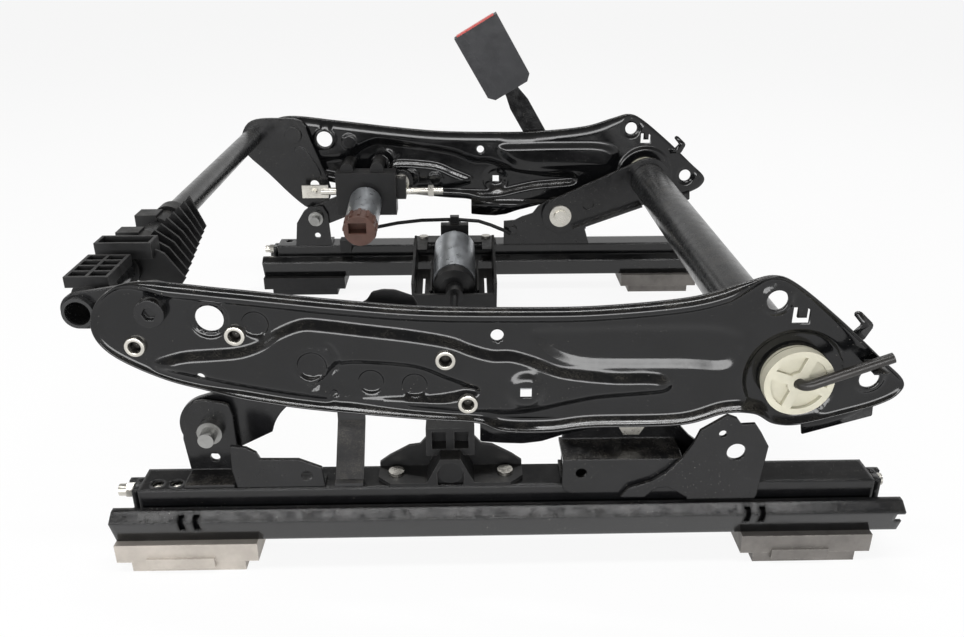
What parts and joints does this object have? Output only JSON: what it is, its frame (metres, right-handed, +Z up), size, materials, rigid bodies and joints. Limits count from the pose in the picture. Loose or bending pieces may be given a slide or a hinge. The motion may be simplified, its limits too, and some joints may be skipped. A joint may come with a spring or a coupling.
{
  "type": "powered seat base frame with slide rails",
  "caption": "Powered base frame of a car front seat: slide rails on cast feet, height linkage, pressed side members, cushion tilt with motors and a belt buckle.",
  "frame": {"origin": "centre of the four floor bolt holes, on the underside of the feet", "axes": "+X to the rear of the seat, +Y to its right (buckle side), +Z up, along the floor bolts"},
  "size_m": [0.522, 0.5205, 0.3001],
  "materials": {
    "black_ecoat": "glossy dipped black",
    "rail_black": "satin black",
    "cast_light": "raw cast",
    "cast_grey": "raw cast, dull",
    "cast_black": "black painted casting",
    "plated_steel": "zinc plated",
    "motor_can": "bright drawn can",
    "dark_steel": "dark satin tube",
    "black_plastic": "matte moulded",
    "cable_black": "matte sleeve",
    "ivory_plastic": "ivory moulded",
    "brown_plastic": "brown moulded",
    "red_plastic": "red moulded",
    "buckle_plastic": "dark grey moulded, fine grain",
    "gear_steel": "greased steel"
  },
  "bodies": {
    "floor_rails": {"lower_rail_left": "rail_black", "lower_rail_right": "rail_black", "foot_front_left": "cast_light", "foot_rear_left": "cast_grey", "foot_front_right": "cast_black", "foot_rear_right": "cast_grey", "lead_screw_left": "plated_steel", "lead_screw_right": "plated_steel", "screw_brackets": "rail_black"},
    "slider": {"upper_rail_left": "rail_black", "upper_rail_right": "rail_black", "slide_gearbox_left": "cast_grey", "slide_gearbox_right": "cast_grey", "gearbox_saddle_left": "black_plastic", "gearbox_saddle_right": "black_plastic", "saddle_rivets": "plated_steel", "slide_motor": "motor_can", "slide_motor_cap": "black_plastic", "motor_tray": "black_plastic", "drive_cable": "cable_black", "front_bracket_left": "black_ecoat", "front_bracket_right": "black_ecoat", "front_stay_left": "black_ecoat", "rear_bracket_left": "black_ecoat", "rear_bracket_right": "black_ecoat", "belt_anchor_plate": "black_ecoat", "front_pivot_pins": "plated_steel", "rear_pivot_bolts": "plated_steel", "harness_cable": "cable_black", "harness_post": "black_ecoat"},
    "ball_carriage": {"ball_cages": "ivory_plastic", "rail_balls": "plated_steel"},
    "rear_lift": {"rear_tube": "dark_steel", "rear_link_left": "black_ecoat", "rear_link_right": "black_ecoat", "tube_cap": "ivory_plastic"},
    "seat_frame": {"side_member_left": "black_ecoat", "side_member_right": "black_ecoat", "rear_bushes": "ivory_plastic", "torsion_bar": "dark_steel", "tilt_pivot_bolts": "black_ecoat", "link_pins": "plated_steel", "frame_screws": "plated_steel", "lift_gearbox": "cast_grey", "lift_motor": "motor_can", "tilt_gearbox": "black_plastic", "tilt_motor": "motor_can", "tilt_motor_cap": "brown_plastic", "buckle_stalk": "dark_steel", "buckle_body": "buckle_plastic"},
    "front_links": {"front_link_left": "black_ecoat", "front_link_right": "black_ecoat"},
    "pinion": {"lift_pinion": "gear_steel"},
    "cushion_tilt": {"front_tube": "dark_steel", "tilt_arm_left": "black_ecoat", "tilt_arm_right": "black_ecoat", "ribbed_bracket": "black_plastic"},
    "tilt_drive": {"tilt_spindle": "plated_steel"},
    "buckle_press": {"buckle_button": "red_plastic"}
  },
  "joints": [
    {"name": "rail_slide", "type": "slide", "parent": "floor_rails", "child": "slider", "axis": [1, 0, 0], "range_m": [-0.11, 0.11]},
    {"name": "ball_roll", "type": "slide", "parent": "floor_rails", "child": "ball_carriage", "axis": [1, 0, 0], "range_m": [-0.055, 0.055]},
    {"name": "lift", "type": "hinge", "parent": "slider", "child": "rear_lift", "pos_m": [0.086, 0, 0.09], "axis": [0, -1, 0], "range_deg": [-6, 26]},
    {"name": "rear_level", "type": "hinge", "parent": "rear_lift", "child": "seat_frame", "pos_m": [0.181, 0, 0.129], "axis": [0, -1, 0], "range_deg": [-26, 6]},
    {"name": "front_lift", "type": "hinge", "parent": "slider", "child": "front_links", "pos_m": [-0.184, 0, 0.0875], "axis": [0, -1, 0], "range_deg": [-6, 26]},
    {"name": "pinion_turn", "type": "hinge", "parent": "seat_frame", "child": "pinion", "pos_m": [-0.05573, -0.2193, 0.12182], "axis": [0, -1, 0], "range_deg": [-65, 15]},
    {"name": "front_tilt", "type": "hinge", "parent": "seat_frame", "child": "cushion_tilt", "pos_m": [-0.2033, 0, 0.1775], "axis": [0, 1, 0], "range_deg": [-8, 12]},
    {"name": "spindle_travel", "type": "slide", "parent": "seat_frame", "child": "tilt_drive", "axis": [1, 0, 0], "range_m": [-0.0124, 0.0083]},
    {"name": "buckle_release", "type": "slide", "parent": "seat_frame", "child": "buckle_press", "axis": [0.503, 0, -0.8643], "range_m": [0, 0.005], "stiffness_N_per_m": 400, "springref_m": -0.003}
  ],
  "couplings": [
    {"joint": "ball_roll", "follows": "rail_slide", "ratio": 0.5},
    {"joint": "rear_level", "follows": "lift", "ratio": -1},
    {"joint": "front_lift", "follows": "lift", "ratio": 1},
    {"joint": "pinion_turn", "follows": "lift", "ratio": -2.5},
    {"joint": "spindle_travel", "follows": "front_tilt", "m_per_rad": -0.0585}
  ]
}
